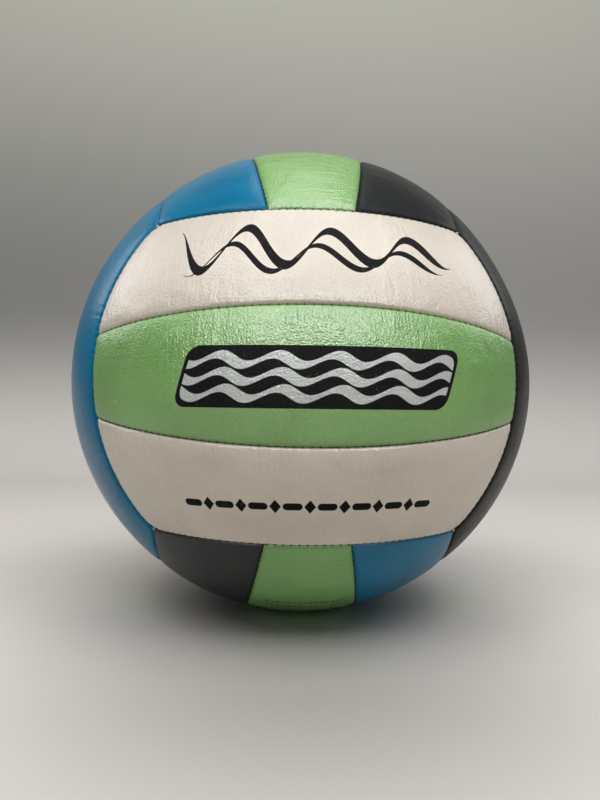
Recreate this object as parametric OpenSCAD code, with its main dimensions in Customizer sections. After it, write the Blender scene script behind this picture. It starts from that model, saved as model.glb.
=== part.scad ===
// Beach volleyball: eighteen stitched cover panels in six faces of three strips,
// over a bladder with a push-in valve. The ball's centre is the origin, z is up,
// and the face seen from the front looks along -y.

/* [Ball] */
// Outside radius of the ball
ball_radius = 106.63; // [90:0.01:130]
// Depth of the small flat that the ball's weight presses at its lowest point
rest_depth = 0.5; // [0.2:0.05:1]

/* [Seam layout] */
// Half the angle across one face of three strips, at its middle
face_half_angle = 36.34; // [35.5:0.01:38]
// Half the angle across a middle strip, at its middle
strip_half_angle = 13.6; // [11:0.1:16]
// Half the angle across a middle strip, at its ends
strip_end_half_angle = 9.0; // [7:0.1:11]

/* [Cover] */
// Thickness of the outer skin and of its turned-in edges
skin_thickness = 1.2; // [0.8:0.05:1.6]
// Thickness of the foam pad bonded inside each skin
foam_thickness = 3.3; // [2:0.1:4]
// Glue line between a skin and its foam pad
glue_gap = 0.1; // [0.05:0.01:0.2]
// How far the turned-in edges reach past the foam pad
edge_overhang = 0.3; // [0.1:0.05:0.6]
// Gap between two neighbouring panels along a seam
seam_gap = 0.2; // [0.1:0.02:0.4]
// Radius of the rolled edge along a seam
roll_radius = 3.6; // [3.2:0.1:5]
// Distance from a seam to the centre of the rolled edge beside it
roll_reach = 2.9; // [2:0.1:3.1]
// How far a rolled edge would stand above the ball, so that the two surfaces cross
roll_rise = 0.15; // [0.1:0.01:0.4]

/* [Sewing thread] */
// Diameter of the sewing thread in a seam
thread_diameter = 0.6; // [0.4:0.05:1]
// Clearance between the thread and the rolled edges it lies on
thread_clearance = 0.03; // [0.01:0.01:0.1]
// Angle left free between a thread's end and the end of its seam
thread_end_angle = 1; // [0.6:0.1:2]

/* [Bladder] */
// Gap between the turned-in edges and the bladder
bladder_gap = 0.2; // [0.1:0.05:0.5]
// Wall thickness of the bladder
bladder_wall = 0.8; // [0.5:0.05:1.5]

/* [Valve] */
// Diameter of the hole through the cover and the bladder for the valve
valve_hole_diameter = 11; // [9:0.1:14]
// Outside diameter of the valve housing's neck
neck_diameter = 10.6; // [8:0.1:13]
// Depth of the valve housing's rim below the ball's surface
neck_recess = 0.5; // [0.3:0.1:1.5]
// Length of the valve housing along its axis
housing_length = 20; // [16:0.5:26]
// Diameter of the housing's flange inside the bladder
flange_diameter = 30; // [20:1:40]
// Thickness of the housing's flange
flange_thickness = 1.2; // [0.8:0.1:2]
// Seating gap between the bladder and the flange or the patch
seat_gap = 0.1; // [0.05:0.01:0.2]
// Diameter of the air hole through the housing's closed end
air_hole_diameter = 2.6; // [2:0.1:4]
// Diameter of the reinforcing patch around the valve
patch_diameter = 38; // [24:1:42]
// Thickness of the reinforcing patch
patch_thickness = 0.8; // [0.5:0.1:1.2]
// Clearance between the patch and the pocket in the foam pad
patch_clearance = 0.25; // [0.1:0.05:0.5]

/* [Valve insert] */
// Diameter of the insert's head
head_diameter = 8; // [7:0.1:9]
// Thickness of the insert's head
head_thickness = 1.5; // [1:0.1:2.5]
// Depth of the head below the housing's rim
head_recess = 0.2; // [0:0.05:0.6]
// Diameter of the insert's stem
stem_diameter = 6; // [5:0.1:7]
// Length of the insert's stem under its head
stem_length = 15; // [10:0.5:17]
// Clearance around the insert in the housing
insert_clearance = 0.1; // [0.05:0.01:0.3]
// Clearance under the insert's head and its stem
insert_end_clearance = 0.1; // [0.05:0.01:0.3]
// Diameter of the needle passage through the insert
needle_diameter = 2.04; // [1.6:0.01:2.6]

/* [Drawing] */
// Sub-part to draw, or all
// Facets around a full turn
smoothness = 180; // [72:12:240]

/* [Hidden] */

// Pearl finishes of the cover, and the plain colours inside
white = [0.9, 0.87, 0.83];
green = [0.52, 0.74, 0.4];
blue = [0.18, 0.5, 0.66];
charcoal = [0.2, 0.2, 0.21];
foam_colour = [0.85, 0.85, 0.82];
thread_colour = [0.12, 0.13, 0.1];
bladder_colour = [0.08, 0.08, 0.08];
patch_colour = [0.3, 0.3, 0.32];
valve_colour = [0.05, 0.05, 0.05];

// Turns from one face's own axes (x along its strips, y across them, z outward)
front_turn = [90, 0, 0];
back_turn = [-90, 0, 0];
top_turn = [0, 0, 90];
bottom_turn = [180, 0, 90];
left_turn = [0, -90, 0];
right_turn = [180, -90, 0];

// Long border of a face on a ball of radius one: across = border_base + border_slope * out
corner = 1 / sqrt(3);
border_slope = (sin(face_half_angle) - corner) / (cos(face_half_angle) - corner);
border_base = corner - border_slope * corner;
border_scale = sqrt(1 + border_slope * border_slope);

// Where a middle strip's side seam meets the face's end: across, along and out
end_across = sin(strip_end_half_angle);
end_square = border_base * border_base - 1 + end_across * end_across;
end_root = sqrt(pow(border_base * border_slope, 2) - border_scale * border_scale * end_square);
end_along = (end_root - border_base * border_slope) / (border_scale * border_scale);
end_out = border_base + border_slope * end_along;

// Side seam of a middle strip: across = strip_base + strip_slope * out
strip_slope = (sin(strip_half_angle) - end_across) / (cos(strip_half_angle) - end_out);
strip_base = sin(strip_half_angle) - strip_slope * cos(strip_half_angle);
strip_scale = sqrt(1 + strip_slope * strip_slope);

// Latitude of each seam circle about its own axis, and the tilt of that axis
border_latitude = asin(border_base / border_scale);
border_tilt = atan(border_slope);
strip_latitude = asin(strip_base / strip_scale);
strip_tilt = atan(strip_slope);

// Half the angle that each seam runs along its own circle
border_run = asin(corner / cos(border_latitude));
strip_run = asin(end_along / cos(strip_latitude));

// Radii of the layers
edge_radius = ball_radius - skin_thickness - glue_gap - foam_thickness - edge_overhang;
pocket_radius = ball_radius - skin_thickness;
foam_outer = pocket_radius - glue_gap;
foam_inner = foam_outer - foam_thickness;
bladder_outer = edge_radius - bladder_gap;
bladder_inner = bladder_outer - bladder_wall;
patch_inner = bladder_outer + seat_gap;
patch_outer = patch_inner + patch_thickness;
flange_outer = bladder_inner - seat_gap;
flange_inner = flange_outer - flange_thickness;

// Rolled edges: the circle that a roll's centre runs on, and its angle from the seam
roll_orbit = ball_radius - roll_radius + roll_rise;
roll_angle = asin(roll_reach / roll_orbit);
thread_reach = roll_radius + thread_clearance + thread_diameter / 2;
thread_rise = sqrt(thread_reach * thread_reach - roll_reach * roll_reach);
thread_orbit = roll_orbit * cos(roll_angle) + thread_rise;

// Heights along the valve's axis
housing_top = ball_radius - neck_recess;
housing_bottom = housing_top - housing_length;
head_top = housing_top - head_recess;
head_bottom = head_top - head_thickness;
stem_bottom = head_bottom - stem_length;
seat_bottom = head_bottom - insert_end_clearance;
bore_bottom = stem_bottom - insert_end_clearance;

// Cutting shapes reach this far past the ball and this deep inside it
outer_reach = 1.1 * ball_radius;
inner_reach = 0.9 * ball_radius;
pocket_depth = (edge_radius + inner_reach) / 2;

// Share of a seam's latitude that its turned-in edges lean by
wall_lean = 0.8;

// Height of the plane under a face, and the spread of the cutting shapes about their seams
face_floor = 0.535 * ball_radius;
side_spread = 66;
end_spread = 56;

// Angle of an arc's length on the ball's surface
function angle_of(length) = length / ball_radius * 180 / PI;

// A point at a radius and a latitude
function polar(radius, latitude) = [radius * cos(latitude), radius * sin(latitude)];

// All that lies above a seam's latitude, less an inset, within a spread of the seam's middle
module beyond(latitude, inset, spread) {
  edge = latitude - angle_of(seam_gap / 2 + inset);
  lean = latitude * wall_lean;
  seam = polar(ball_radius, edge);
  low = seam - polar(ball_radius - inner_reach, lean);
  high = seam + polar(outer_reach - ball_radius, lean);
  rotate([0, 0, 90 - spread]) rotate_extrude(angle = spread * 2, $fn = smoothness) {
    polygon([low, high, [outer_reach * 2, high[1]], [outer_reach * 2, outer_reach * 2],
      [0, outer_reach * 2], [0, low[1]]]);
  }
}

// The sharp corner that a rolled edge takes off along a seam
module roll_off(latitude, spread) {
  centre = polar(roll_orbit, latitude - roll_angle);
  lean = latitude * wall_lean;
  out = polar(outer_reach - roll_orbit, lean);
  across = polar(roll_reach * 2, lean + 90);
  difference() {
    rotate([0, 0, 90 - spread]) rotate_extrude(angle = spread * 2, $fn = smoothness) {
      polygon([centre, centre + out, centre + out + across, centre + across]);
    }
    rotate_extrude($fn = smoothness) {
      translate(centre) circle(r = roll_radius);
    }
  }
}

// Turns a cutting shape onto both seams across the ends of the strips
module at_ends() {
  for (turn = [0, 180]) {
    rotate([0, 0, turn]) rotate([0, 180 - border_tilt, 0]) rotate([0, 0, 90]) children();
  }
}

// Turns a cutting shape onto both seams beside a middle strip
module at_middle_sides() {
  for (turn = [0, 180]) {
    rotate([0, 0, turn]) rotate([90 + strip_tilt, 0, 0]) children();
  }
}

// Turns a cutting shape onto the long border of a side strip
module at_border() {
  rotate([0, 0, 180]) rotate([90 + border_tilt, 0, 0]) children();
}

// Turns a cutting shape onto the inner seam of a side strip
module at_inner_side() {
  rotate([90 - strip_tilt, 0, 0]) children();
}

// A ball of a given radius, poles along the strips
module round_body(radius) {
  rotate([0, 90, 0]) sphere(r = radius, $fn = smoothness);
}

// A layer of the ball above the plane under a face
module face_shell(outer, inner) {
  difference() {
    intersection() {
      round_body(outer);
      translate([0, 0, face_floor]) {
        linear_extrude(height = outer_reach) square(outer_reach * 2, center = true);
      }
    }
    round_body(inner);
  }
}

// A layer of a middle strip
module middle_layer(outer, inner, inset) {
  difference() {
    face_shell(outer, inner);
    at_middle_sides() beyond(strip_latitude, inset, side_spread);
    at_ends() beyond(-border_latitude, inset, end_spread);
  }
}

// A layer of a side strip
module side_layer(outer, inner, inset) {
  difference() {
    face_shell(outer, inner);
    at_border() beyond(border_latitude, inset, side_spread);
    at_inner_side() beyond(-strip_latitude, inset, side_spread);
    at_ends() beyond(-border_latitude, inset, end_spread);
  }
}

// Skin of a middle strip: a tray with rolled and turned-in edges
module middle_skin() {
  difference() {
    middle_layer(ball_radius, edge_radius, 0);
    at_middle_sides() roll_off(strip_latitude, side_spread);
    at_ends() roll_off(-border_latitude, end_spread);
    middle_layer(pocket_radius, pocket_depth, skin_thickness);
  }
}

// Skin of a side strip
module side_skin() {
  difference() {
    side_layer(ball_radius, edge_radius, 0);
    at_border() roll_off(border_latitude, side_spread);
    at_inner_side() roll_off(-strip_latitude, side_spread);
    at_ends() roll_off(-border_latitude, end_spread);
    side_layer(pocket_radius, pocket_depth, skin_thickness);
  }
}

// Foam pad inside a middle strip's skin
module middle_foam() {
  middle_layer(foam_outer, foam_inner, skin_thickness + glue_gap);
}

// Foam pad inside a side strip's skin
module side_foam() {
  side_layer(foam_outer, foam_inner, skin_thickness + glue_gap);
}

// One arc of thread at a latitude, from the middle of its seam out both ways
module thread_arc(latitude, run) {
  half = run - thread_end_angle;
  rotate([0, 0, 90 - half]) {
    rotate_extrude(angle = 2 * half, $fn = smoothness) {
      translate(polar(thread_orbit, latitude)) circle(d = thread_diameter, $fn = smoothness / 5);
    }
  }
}

// The threads of one face: two seams beside the middle strip and two long borders
module face_threads() {
  color(thread_colour) {
    for (side = [0, 180]) {
      rotate([0, 0, side]) {
        rotate([90 + strip_tilt, 0, 0]) thread_arc(strip_latitude, strip_run);
        rotate([90 + border_tilt, 0, 0]) thread_arc(border_latitude, border_run);
      }
    }
  }
}

module front_top_panel() {
  color(white) rotate(front_turn) side_skin();
}

module front_middle_panel() {
  color(green) rotate(front_turn) middle_skin();
}

module front_bottom_panel() {
  color(white) rotate(front_turn) rotate([0, 0, 180]) side_skin();
}

module back_top_panel() {
  color(white) rotate(back_turn) rotate([0, 0, 180]) side_skin();
}

// The back middle strip carries the valve
module back_middle_panel() {
  color(green) rotate(back_turn) {
    difference() {
      middle_skin();
      cylinder(h = outer_reach, d = valve_hole_diameter, $fn = smoothness);
    }
  }
}

module back_bottom_panel() {
  color(white) rotate(back_turn) side_skin();
}

module top_left_panel() {
  color(blue) rotate(top_turn) side_skin();
}

module top_middle_panel() {
  color(green) rotate(top_turn) middle_skin();
}

module top_right_panel() {
  color(charcoal) rotate(top_turn) rotate([0, 0, 180]) side_skin();
}

module bottom_left_panel() {
  color(charcoal) rotate(bottom_turn) rotate([0, 0, 180]) side_skin();
}

// The bottom middle strip has the flat that the ball rests on
module bottom_middle_panel() {
  color(green) rotate(bottom_turn) {
    difference() {
      middle_skin();
      translate([0, 0, ball_radius - rest_depth]) {
        linear_extrude(height = outer_reach) square(outer_reach, center = true);
      }
    }
  }
}

module bottom_right_panel() {
  color(blue) rotate(bottom_turn) side_skin();
}

module left_front_panel() {
  color(blue) rotate(left_turn) rotate([0, 0, 180]) side_skin();
}

module left_middle_panel() {
  color(green) rotate(left_turn) middle_skin();
}

module left_back_panel() {
  color(charcoal) rotate(left_turn) side_skin();
}

module right_front_panel() {
  color(charcoal) rotate(right_turn) side_skin();
}

module right_middle_panel() {
  color(green) rotate(right_turn) middle_skin();
}

module right_back_panel() {
  color(blue) rotate(right_turn) rotate([0, 0, 180]) side_skin();
}

module front_top_foam() {
  color(foam_colour) rotate(front_turn) side_foam();
}

module front_middle_foam() {
  color(foam_colour) rotate(front_turn) middle_foam();
}

module front_bottom_foam() {
  color(foam_colour) rotate(front_turn) rotate([0, 0, 180]) side_foam();
}

module back_top_foam() {
  color(foam_colour) rotate(back_turn) rotate([0, 0, 180]) side_foam();
}

// The pad behind the valve has a hole for the neck and a pocket for the patch
module back_middle_foam() {
  color(foam_colour) rotate(back_turn) {
    difference() {
      middle_foam();
      cylinder(h = outer_reach, d = valve_hole_diameter, $fn = smoothness);
      intersection() {
        cylinder(h = outer_reach, d = patch_diameter + patch_clearance * 2, $fn = smoothness);
        round_body(patch_outer + patch_clearance);
      }
    }
  }
}

module back_bottom_foam() {
  color(foam_colour) rotate(back_turn) side_foam();
}

module top_left_foam() {
  color(foam_colour) rotate(top_turn) side_foam();
}

module top_middle_foam() {
  color(foam_colour) rotate(top_turn) middle_foam();
}

module top_right_foam() {
  color(foam_colour) rotate(top_turn) rotate([0, 0, 180]) side_foam();
}

module bottom_left_foam() {
  color(foam_colour) rotate(bottom_turn) rotate([0, 0, 180]) side_foam();
}

module bottom_middle_foam() {
  color(foam_colour) rotate(bottom_turn) middle_foam();
}

module bottom_right_foam() {
  color(foam_colour) rotate(bottom_turn) side_foam();
}

module left_front_foam() {
  color(foam_colour) rotate(left_turn) rotate([0, 0, 180]) side_foam();
}

module left_middle_foam() {
  color(foam_colour) rotate(left_turn) middle_foam();
}

module left_back_foam() {
  color(foam_colour) rotate(left_turn) side_foam();
}

module right_front_foam() {
  color(foam_colour) rotate(right_turn) side_foam();
}

module right_middle_foam() {
  color(foam_colour) rotate(right_turn) middle_foam();
}

module right_back_foam() {
  color(foam_colour) rotate(right_turn) rotate([0, 0, 180]) side_foam();
}

module front_thread() {
  rotate(front_turn) face_threads();
}

module back_thread() {
  rotate(back_turn) face_threads();
}

module top_thread() {
  rotate(top_turn) face_threads();
}

module bottom_thread() {
  rotate(bottom_turn) face_threads();
}

module left_thread() {
  rotate(left_turn) face_threads();
}

module right_thread() {
  rotate(right_turn) face_threads();
}

// Hollow ball with a hole for the valve's neck
module bladder() {
  color(bladder_colour) rotate(back_turn) {
    difference() {
      round_body(bladder_outer);
      round_body(bladder_inner);
      cylinder(h = outer_reach, d = valve_hole_diameter, $fn = smoothness);
    }
  }
}

// Reinforcing disc on the bladder, around the neck
module valve_patch() {
  color(patch_colour) rotate(back_turn) {
    difference() {
      intersection() {
        round_body(patch_outer);
        cylinder(h = outer_reach, d = patch_diameter, $fn = smoothness);
      }
      round_body(patch_inner);
      cylinder(h = outer_reach, d = valve_hole_diameter, $fn = smoothness);
    }
  }
}

// Flange inside the bladder, neck through the cover, and a seat for the insert
module valve_housing() {
  color(valve_colour) rotate(back_turn) {
    difference() {
      union() {
        translate([0, 0, housing_bottom]) {
          cylinder(h = housing_length, d = neck_diameter, $fn = smoothness);
        }
        difference() {
          intersection() {
            round_body(flange_outer);
            cylinder(h = outer_reach, d = flange_diameter, $fn = smoothness);
          }
          round_body(flange_inner);
        }
      }
      translate([0, 0, seat_bottom]) {
        cylinder(h = housing_length, d = head_diameter + insert_clearance * 2, $fn = smoothness);
      }
      translate([0, 0, bore_bottom]) {
        cylinder(h = housing_length, d = stem_diameter + insert_clearance * 2, $fn = smoothness);
      }
      translate([0, 0, housing_bottom - housing_length]) {
        cylinder(h = housing_length * 2, d = air_hole_diameter, $fn = smoothness);
      }
    }
  }
}

// Plug with a needle passage, pushed into the housing
module valve_insert() {
  color(valve_colour) rotate(back_turn) {
    difference() {
      union() {
        translate([0, 0, head_bottom]) {
          cylinder(h = head_thickness, d = head_diameter, $fn = smoothness);
        }
        translate([0, 0, stem_bottom]) {
          cylinder(h = stem_length + head_thickness / 2, d = stem_diameter, $fn = smoothness);
        }
      }
      translate([0, 0, housing_bottom]) {
        cylinder(h = housing_length * 2, d = needle_diameter, $fn = smoothness);
      }
    }
  }
}

front_top_panel();
front_middle_panel();
front_bottom_panel();
back_top_panel();
back_middle_panel();
back_bottom_panel();
top_left_panel();
top_middle_panel();
top_right_panel();
bottom_left_panel();
bottom_middle_panel();
bottom_right_panel();
left_front_panel();
left_middle_panel();
left_back_panel();
right_front_panel();
right_middle_panel();
right_back_panel();
front_top_foam();
front_middle_foam();
front_bottom_foam();
back_top_foam();
back_middle_foam();
back_bottom_foam();
top_left_foam();
top_middle_foam();
top_right_foam();
bottom_left_foam();
bottom_middle_foam();
bottom_right_foam();
left_front_foam();
left_middle_foam();
left_back_foam();
right_front_foam();
right_middle_foam();
right_back_foam();
front_thread();
back_thread();
top_thread();
bottom_thread();
left_thread();
right_thread();
bladder();
valve_patch();
valve_housing();
valve_insert();
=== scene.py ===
import math
from collections import namedtuple

import bpy
import numpy as np
from mathutils import Matrix, Vector


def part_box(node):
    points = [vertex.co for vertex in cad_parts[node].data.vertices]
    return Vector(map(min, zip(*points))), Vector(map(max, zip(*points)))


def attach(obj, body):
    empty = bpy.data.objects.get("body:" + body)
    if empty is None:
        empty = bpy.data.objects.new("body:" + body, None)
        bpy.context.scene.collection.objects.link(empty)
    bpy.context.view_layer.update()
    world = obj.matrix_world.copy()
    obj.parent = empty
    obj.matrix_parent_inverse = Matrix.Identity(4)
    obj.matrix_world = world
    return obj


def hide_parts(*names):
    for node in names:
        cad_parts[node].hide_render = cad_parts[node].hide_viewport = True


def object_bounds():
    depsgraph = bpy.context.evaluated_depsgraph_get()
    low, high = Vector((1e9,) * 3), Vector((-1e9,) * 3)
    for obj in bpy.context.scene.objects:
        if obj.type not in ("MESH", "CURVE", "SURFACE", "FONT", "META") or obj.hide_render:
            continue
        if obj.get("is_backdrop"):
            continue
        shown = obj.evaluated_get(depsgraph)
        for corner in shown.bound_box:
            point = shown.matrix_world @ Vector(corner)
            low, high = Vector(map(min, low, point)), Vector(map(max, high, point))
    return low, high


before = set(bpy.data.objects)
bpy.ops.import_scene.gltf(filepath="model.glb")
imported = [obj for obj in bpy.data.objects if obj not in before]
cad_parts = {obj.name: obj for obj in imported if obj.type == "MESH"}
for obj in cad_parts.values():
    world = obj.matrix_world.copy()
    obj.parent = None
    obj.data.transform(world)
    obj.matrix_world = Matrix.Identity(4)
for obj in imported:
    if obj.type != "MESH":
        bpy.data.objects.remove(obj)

cad_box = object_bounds()

# Sizes are in metres, angles in degrees. Lengths in materials are in millimetres.
MM = 0.001
BALL_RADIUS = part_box("top_middle_panel")[1].z
FLOOR_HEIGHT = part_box("bottom_middle_panel")[0].z

# Seams, as half-angles seen from the ball's centre
FACE_HALF_ANGLE = 36.34
STRIP_HALF_ANGLE = 13.6
STRIP_END_HALF_ANGLE = 9.0

# A cover panel's outline: the gap it keeps from the seam's middle, and the radii of its corners
SEAM_GAP = 0.1 * MM
ROUND_CORNER = 6.5 * MM
PLAIN_CORNER = 1.8 * MM
STRIP_CORNER = 0.9 * MM

# Its outer face: how the edge rolls over, the fine lip at the seam, and the crown further in
ROLL_RADIUS = 2.4 * MM
ROLL_REACH = 1.5 * MM
LIP_DEPTH = 0.25 * MM
LIP_REACH = 0.35 * MM
CROWN_DROP = 0.55 * MM
CROWN_REACH = 3.2 * MM

# Its thickness, and the wall round it, which leans away from the seam and is flat below
SKIN_THICKNESS = 1.2 * MM
SHOULDER_INSET = 1.5 * SEAM_GAP
SHOULDER_DEPTH = 2.9 * MM
WALL_INSET = 2 * SEAM_GAP
WALL_DEPTH = 4.4 * MM

# How each stitch pulls the panels in
STITCH_PITCH = 3.1 * MM
PUCKER_DEPTH = 0.3 * MM
PUCKER_REACH = 2.2 * MM

# The grid over a panel, and how many of its steps a face of the underside spans
GRID_STEP = 1.03 * MM
COARSE_STEP = 4
# Its lines beside an edge, in millimetres from it, and those of a grid with steps of WIDE_STEP or more
EDGE_LINES = (0, 0.12, 0.3, 0.55, 0.9, 1.35, 1.9, 2.6, 3.4, 4.3, 5.3)
EDGE_BAND = EDGE_LINES[-1] * MM
WIDE_EDGE_LINES = (0, 1.35, 3.4)
WIDE_STEP = 2 * MM

# The pad under each skin
PAD_TOP_DEPTH = 1.35 * MM
PAD_THICKNESS = 3.1 * MM
PAD_INSET = 1.6 * MM
PAD_STEP = 5.0 * MM

# How the whole ball swells, how it bulges at the middle of its faces, and its one slight dent
PLUMPNESS = 0.5 * MM
FACE_BULGE = 1.1 * MM
DENT_DEPTH = 0.9 * MM
DENT_ANGLE = 17.0
DENT_TOWARDS = (0.849, -0.302, 0.433)

# The valve, at the middle of the back face
VALVE_HOLE_RADIUS = 5.5 * MM
VALVE_HOLE_SIDES = 96
VALVE_CUT_LENGTH = 40 * MM
VALVE_HOLLOW = 1.3 * MM
VALVE_HOLLOW_RADIUS = 14.0 * MM

# A stitch: a bar of thread drawn tight across the valley
THREAD_RADIUS = 0.24 * MM
THREAD_REACH = 0.62 * MM
THREAD_DEPTH = 1.20 * MM
THREAD_SIDES = 6
# Its path: shares of its reach, and how far it dips there, in millimetres
STITCH_PATH = ((-1, 0.5), (-0.72, 0.05), (0, 0), (0.72, 0.05), (1, 0.5))
# How much stitches differ in slant, in place along the seam and in depth, the last two in millimetres
STITCH_SCATTER = (0.10, 0.06, 0.05)

# A tied-off end of thread: a shrinking coil that rises and dips
KNOT_RADIUS = 0.3 * MM
KNOT_WIDTH = 0.55 * MM
KNOT_DEPTH = 1.4 * MM
KNOT_LIFT = 0.35 * MM
KNOT_SIDES = 10
KNOT_POINTS = 16
# In radians: how far it winds, and where it would have shrunk to nothing. Then its waves in one turn
KNOT_WINDING = 7
KNOT_VANISHING = 12
KNOT_RISES = 1.5

Face = namedtuple("Face", "along across out corner")
Seam = namedtuple("Seam", "offset tilt")
Strip = namedtuple("Strip", "low high turned")

FACES = {
    "front": Face((1, 0, 0), (0, 0, 1), (0, -1, 0), ROUND_CORNER),
    "back": Face((1, 0, 0), (0, 0, -1), (0, 1, 0), ROUND_CORNER),
    "top": Face((0, 1, 0), (-1, 0, 0), (0, 0, 1), PLAIN_CORNER),
    "bottom": Face((0, 1, 0), (1, 0, 0), (0, 0, -1), PLAIN_CORNER),
    "right": Face((0, 0, 1), (0, -1, 0), (1, 0, 0), PLAIN_CORNER),
    "left": Face((0, 0, 1), (0, 1, 0), (-1, 0, 0), PLAIN_CORNER),
}
# Each face's strips: on the side that its across axis points to, in its middle and on the other side
STRIPS = {
    "front": ("top", "middle", "bottom"),
    "back": ("bottom", "middle", "top"),
    "top": ("left", "middle", "right"),
    "bottom": ("right", "middle", "left"),
    "right": ("front", "middle", "back"),
    "left": ("back", "middle", "front"),
}
# The strips that aren't green
COVERS = {
    "white": ("front_top", "front_bottom", "back_top", "back_bottom"),
    "blue": ("top_left", "bottom_right", "left_front", "right_back"),
    "charcoal": ("top_right", "bottom_left", "left_back", "right_front"),
}


def find_seams():
    """A face's border and strip seam, on a ball of radius 1. Each is where v = offset + tilt n."""
    corner = 1 / math.sqrt(3)
    face, strip, end = (
        math.radians(a) for a in (FACE_HALF_ANGLE, STRIP_HALF_ANGLE, STRIP_END_HALF_ANGLE)
    )
    tilt = (math.sin(face) - corner) / (math.cos(face) - corner)
    border = Seam(corner * (1 - tilt), tilt)
    a, b = 1 + tilt**2, 2 * border.offset * tilt
    c = border.offset**2 - 1 + math.sin(end) ** 2
    end_along = (-b + math.sqrt(b * b - 4 * a * c)) / (2 * a)
    end_out = border.offset + tilt * end_along
    tilt = (math.sin(strip) - math.sin(end)) / (math.cos(strip) - end_out)
    return border, Seam(math.sin(strip) - tilt * math.cos(strip), tilt)


BORDER, STRIP_SEAM = find_seams()
MIRRORED_SEAM = Seam(-STRIP_SEAM.offset, -STRIP_SEAM.tilt)
STRIP_KINDS = (
    Strip(STRIP_SEAM, BORDER, 1),
    Strip(MIRRORED_SEAM, STRIP_SEAM, 1),
    Strip(STRIP_SEAM, BORDER, -1),
)
# The seams sewn on each side of a face: how far from their ends the stitches stop, and their shift across
SEWN_SEAMS = ((STRIP_SEAM, 1.2 * MM, -0.3 * MM), (BORDER, 3.0 * MM, 0.0))


def circle_of(offset, tilt):
    """A seam's circle: its centre's distance, its radius and the slope length of its plane."""
    slope = np.sqrt(1 + tilt**2)
    height = offset / slope
    return height, np.sqrt(1 - height**2), slope


def end_angle(offset, tilt):
    """How far along its circle a seam runs, in radians, before it meets the face's end."""
    height, radius, slope = circle_of(offset, tilt)
    reach = np.sqrt(1 / slope**2 + BORDER.tilt**2)
    lean = np.arctan2(BORDER.tilt, 1 / slope)
    return np.arccos((BORDER.offset + height * tilt / slope) / (radius * reach)) - lean


def point_at(offset, tilt, angle):
    """The point (u, v, n) at that angle along a seam's circle."""
    height, radius, slope = circle_of(offset, tilt)
    u = radius * np.sin(angle)
    v = height / slope + radius * np.cos(angle) * tilt / slope
    n = -height * tilt / slope + radius * np.cos(angle) / slope
    return np.stack(np.broadcast_arrays(u, v, n), -1)


def unit(vector):
    return vector / np.linalg.norm(vector)


def circle(sides, first, second):
    """Points round a circle of radius 1, given two unit vectors in its plane."""
    turns = np.arange(sides)[:, None] * math.tau / sides
    return np.cos(turns) * first + np.sin(turns) * second


def to_world(points, face, turned=1):
    """Points in a face's (u, v, n) as points in the row frame."""
    axes = np.array([face.along, face.across, face.out], float)
    return (points * (turned, turned, 1)) @ axes


def from_world(points, face):
    """Points in the row frame as a face's (u, v, n), on a ball of radius 1."""
    axes = np.array([face.along, face.across, face.out], float)
    local = points @ axes.T
    return local / np.linalg.norm(local, axis=-1, keepdims=True)


def edge_distances(local):
    """How far points lie outside a face's strip seams, inside its long borders and inside its ends."""
    u, v, n = np.moveaxis(local, -1, 0)

    def gap(seam, side, out):
        height, _, slope = circle_of(*seam)
        inside = (np.abs(side) - seam.tilt * out) / slope
        return BALL_RADIUS * (np.arcsin(np.clip(inside, -1, 1)) - math.asin(height))

    return gap(STRIP_SEAM, v, n), -gap(BORDER, v, n), gap(BORDER, n, np.abs(u))


def near_edge_rows(step):
    """Distances from an edge of the grid lines beside it, close together where the edge rolls over."""
    return np.array(EDGE_LINES if step < WIDE_STEP else WIDE_EDGE_LINES) * MM


def grid_lines(length, step):
    """Signed places of grid lines over a length, and each one's distance to the nearer end."""
    rows = near_edge_rows(step)
    inner = length / 2 - rows[-1]
    count = 2 * max(2, round(inner / step))
    middle = np.linspace(-inner, inner, count + 1)
    places = np.concatenate([rows[:-1] - length / 2, middle, (length / 2 - rows[:-1])[::-1]])
    return places, length / 2 - np.abs(places)


def round_corners(x, y, width_x, width_y, radius):
    """Moves grid places near a corner so that the outline there is an arc."""
    p, q = width_x / 2 - np.abs(x), width_y / 2 - np.abs(y)
    a, b = radius - p, radius - q
    near = (a > 0) & (b > 0)
    tiny = 1e-9
    shrink = np.where(near, np.maximum(a, b) / np.maximum(np.hypot(a, b), tiny), 1)
    x = np.where(near, np.sign(x) * (width_x / 2 - radius + a * shrink), x)
    y = np.where(near, np.sign(y) * (width_y / 2 - radius + b * shrink), y)
    return x, y


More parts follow.
